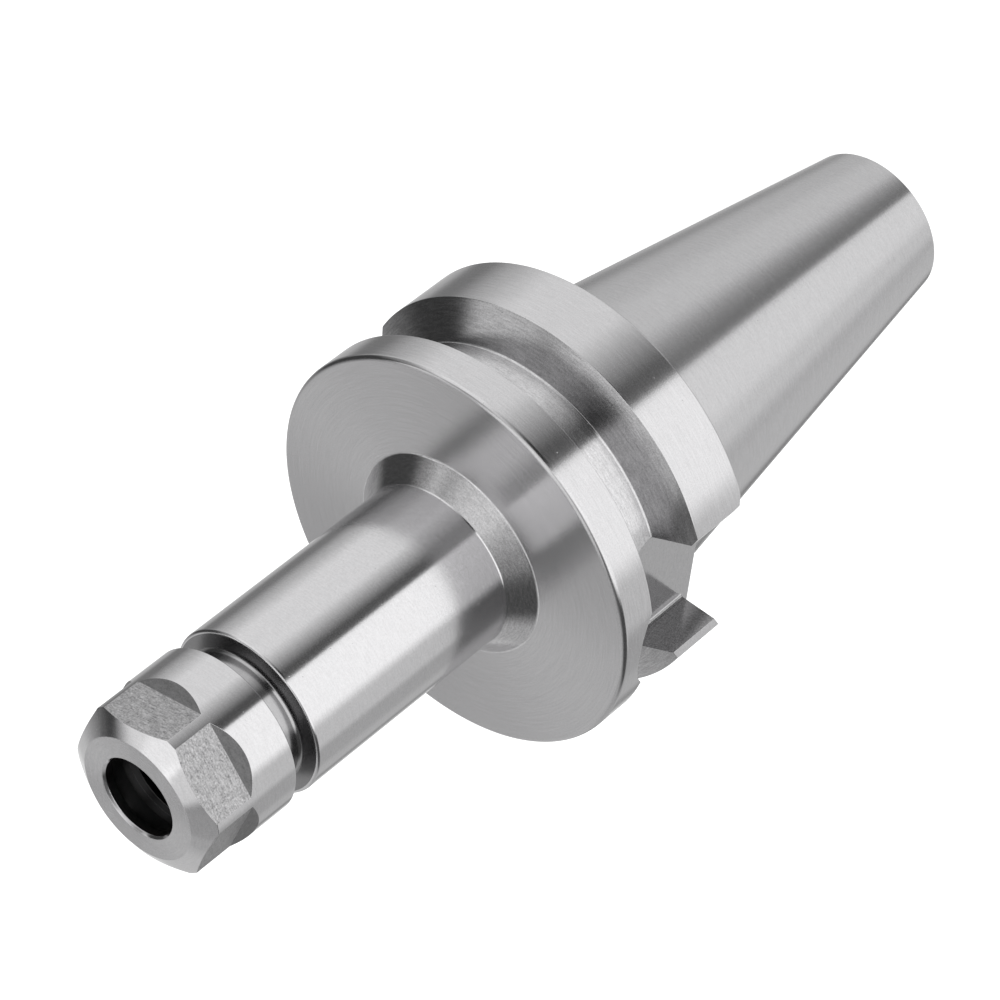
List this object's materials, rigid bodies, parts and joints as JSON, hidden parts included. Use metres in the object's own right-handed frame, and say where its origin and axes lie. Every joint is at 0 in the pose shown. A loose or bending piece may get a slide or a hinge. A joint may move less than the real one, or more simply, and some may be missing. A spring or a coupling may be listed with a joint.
{
  "type": "collet chuck tool holder",
  "caption": "Steel milling tool holder: a 7:24 spindle taper, a grip flange with V-groove and drive slots, and a slim shank that ends in a hexagonal collet nut.",
  "frame": {"origin": "on the tool axis at the gauge line, where the taper is 31.75 mm in diameter", "axes": "+Z along the tool axis from the taper to the nut, +X through the middle of one drive slot"},
  "size_m": [0.046, 0.046, 0.1161],
  "materials": {
    "ground_steel": "ground taper, turned flange and shank",
    "polished_nut_steel": "polished with blasted flats"
  },
  "bodies": {
    "holder": {"holder_body": "ground_steel"},
    "nut": {"clamping_nut": "polished_nut_steel"}
  },
  "joints": [
    {"name": "nut_turn", "type": "hinge", "parent": "holder", "child": "nut", "pos_m": [0, 0, 0.06155], "axis": [0, 0, 1], "range_deg": [-144, 3312]}
  ]
}
